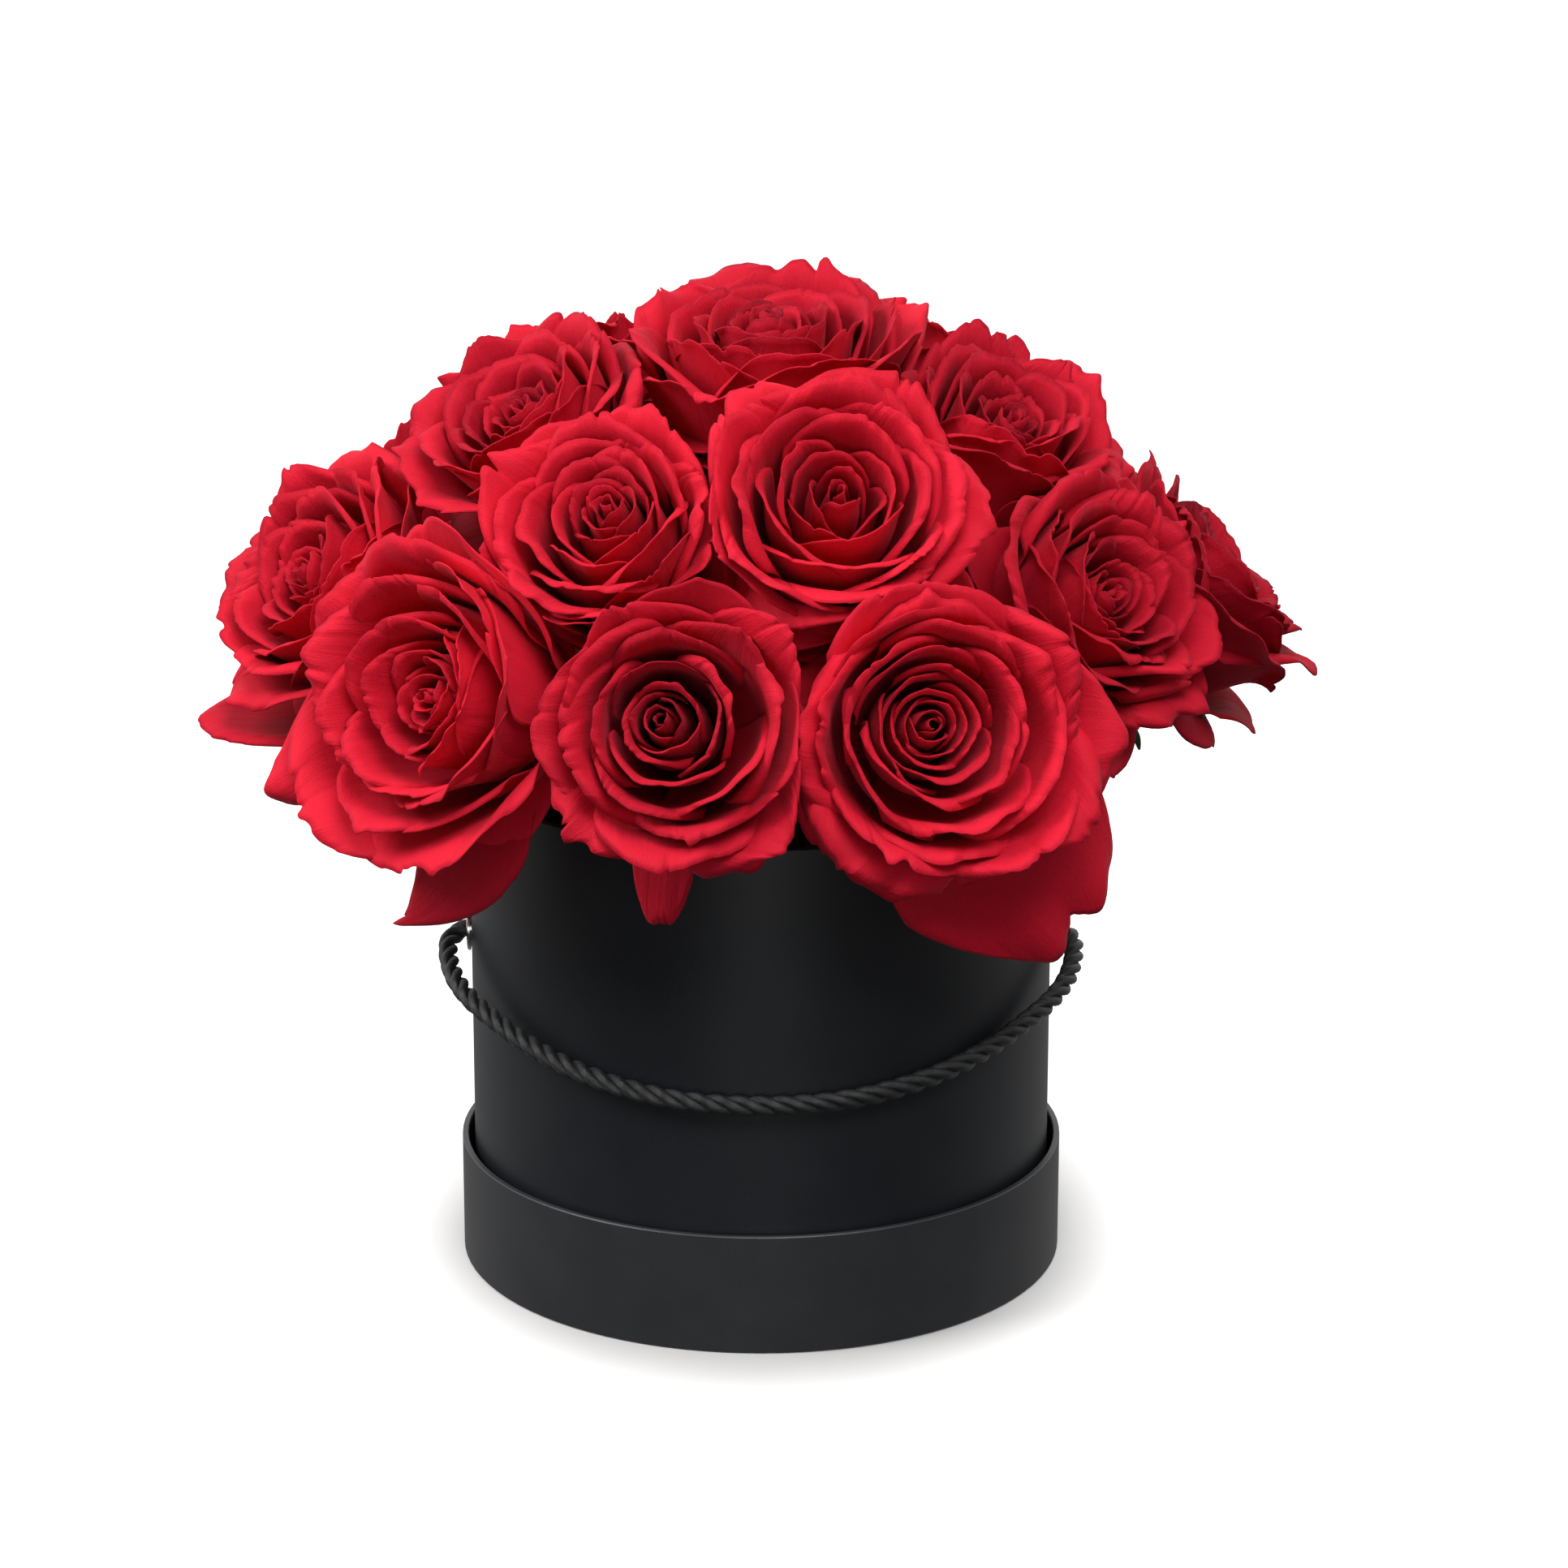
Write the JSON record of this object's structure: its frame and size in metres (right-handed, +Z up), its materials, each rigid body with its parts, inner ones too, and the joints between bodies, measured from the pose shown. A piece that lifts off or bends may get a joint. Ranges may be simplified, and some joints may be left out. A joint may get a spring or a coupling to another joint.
{
  "type": "flower box",
  "caption": "Round black hat box with a rope handle, standing in its upturned lid and filled with a dome of red roses set in foam.",
  "frame": {"origin": "centre of the lid's underside, on the surface that the box stands on", "axes": "+Z up through the middle of the box; -Y is the front, where the rope handle hangs; the eyelets lie on X"},
  "size_m": [0.2957, 0.2587, 0.272],
  "materials": {
    "black_paper": "matte",
    "nickel": "satin",
    "black_steel": "satin",
    "black_rope": "matte",
    "black_plastic": "satin",
    "green_foam": "matte",
    "red_petal": "matte",
    "green_stem": "satin"
  },
  "bodies": {
    "lid": {"lid_panel": "black_paper", "lid_rim": "black_paper"},
    "box": {"box_base": "black_paper", "box_wall": "black_paper", "eyelet_left": "nickel", "eyelet_right": "nickel"},
    "handle": {"cord_stop_left": "black_steel", "cord_stop_right": "black_steel", "handle_cord": "black_rope"},
    "insert": {"foam": "green_foam", "liner": "black_plastic", "rose_01_bloom": "red_petal", "rose_01_stem": "green_stem", "rose_02_bloom": "red_petal", "rose_02_stem": "green_stem", "rose_03_bloom": "red_petal", "rose_03_stem": "green_stem", "rose_04_bloom": "red_petal", "rose_04_stem": "green_stem", "rose_05_bloom": "red_petal", "rose_05_stem": "green_stem", "rose_06_bloom": "red_petal", "rose_06_guard": "red_petal", "rose_06_stem": "green_stem", "rose_07_bloom": "red_petal", "rose_07_guard": "red_petal", "rose_07_stem": "green_stem", "rose_08_bloom": "red_petal", "rose_08_guard": "red_petal", "rose_08_stem": "green_stem", "rose_09_bloom": "red_petal", "rose_09_guard": "red_petal", "rose_09_stem": "green_stem", "rose_10_bloom": "red_petal", "rose_10_guard": "red_petal", "rose_10_stem": "green_stem", "rose_11_bloom": "red_petal", "rose_11_guard": "red_petal", "rose_11_stem": "green_stem", "rose_12_bloom": "red_petal", "rose_12_stem": "green_stem", "rose_13_bloom": "red_petal", "rose_13_guard": "red_petal", "rose_13_stem": "green_stem", "rose_14_bloom": "red_petal", "rose_14_stem": "green_stem", "rose_15_bloom": "red_petal", "rose_15_guard": "red_petal", "rose_15_stem": "green_stem", "rose_16_bloom": "red_petal", "rose_16_guard": "red_petal", "rose_16_stem": "green_stem", "rose_17_bloom": "red_petal", "rose_17_stem": "green_stem", "rose_18_bloom": "red_petal", "rose_18_stem": "green_stem", "rose_19_bloom": "red_petal", "rose_19_stem": "green_stem"}
  },
  "joints": [
    {"name": "box_lift", "type": "slide", "parent": "lid", "child": "box", "axis": [0, 0, 1], "range_m": [0, 0.045]},
    {"name": "handle_swing", "type": "hinge", "parent": "box", "child": "handle", "pos_m": [0, 0, 0.0915], "axis": [-1, 0, 0], "range_deg": [0, 20]},
    {"name": "insert_lift", "type": "slide", "parent": "box", "child": "insert", "axis": [0, 0, 1], "range_m": [0, 0.14]}
  ]
}
